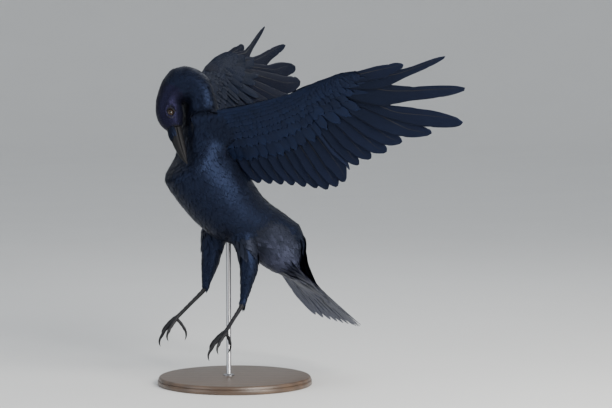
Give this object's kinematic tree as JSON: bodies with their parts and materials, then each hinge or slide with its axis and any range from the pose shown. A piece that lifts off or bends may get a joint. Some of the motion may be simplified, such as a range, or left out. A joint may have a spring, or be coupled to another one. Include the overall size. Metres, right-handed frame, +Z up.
{
  "type": "carrion crow",
  "caption": "Life-size carrion crow braking in flight, wings raised, head bent down, tail fanned, legs trailing, held over a round base by a rod.",
  "frame": {"origin": "centre of the underside of the stand's round base", "axes": "+Z up; the crow faces -X and is turned 25 degrees towards -Y, so its left side looks towards -Y; +X is towards its tail"},
  "size_m": [0.4323, 0.5773, 0.5207],
  "materials": {
    "plumage": "soft black body feathers with a faint blue-violet gloss",
    "wing_vane": "black flight feathers, glossy blue-violet above and greyer beneath",
    "tail_vane": "black tail feathers, silvery grey beneath with fine barb lines",
    "bill_horn": "black horn with a dull shine and fine growth lines",
    "claw_horn": "black polished horn",
    "leg_scale": "black scaled skin",
    "eye": "wet dark brown eye with a black pupil",
    "stand_base": "dark stained wood, satin",
    "stand_rod": "brushed steel rod"
  },
  "bodies": {
    "root": {"bill_lower": "bill_horn", "bill_upper": "bill_horn", "claw_left_1": "claw_horn", "claw_left_2": "claw_horn", "claw_left_3": "claw_horn", "claw_left_4": "claw_horn", "claw_right_1": "claw_horn", "claw_right_2": "claw_horn", "claw_right_3": "claw_horn", "claw_right_4": "claw_horn", "eye_left": "eye", "eye_right": "eye", "head": "plumage", "neck": "plumage", "stand_base": "stand_base", "stand_rod": "stand_rod", "tail": "tail_vane", "tail_coverts": "plumage", "tarsus_left": "leg_scale", "tarsus_right": "leg_scale", "thigh_left": "plumage", "thigh_right": "plumage", "toe_left_1": "leg_scale", "toe_left_2": "leg_scale", "toe_left_3": "leg_scale", "toe_left_4": "leg_scale", "toe_right_1": "leg_scale", "toe_right_2": "leg_scale", "toe_right_3": "leg_scale", "toe_right_4": "leg_scale", "trunk": "plumage", "wing_left_arm": "wing_vane", "wing_left_hand": "wing_vane", "wing_right_arm": "wing_vane", "wing_right_hand": "wing_vane"}
  },
  "joints": []
}
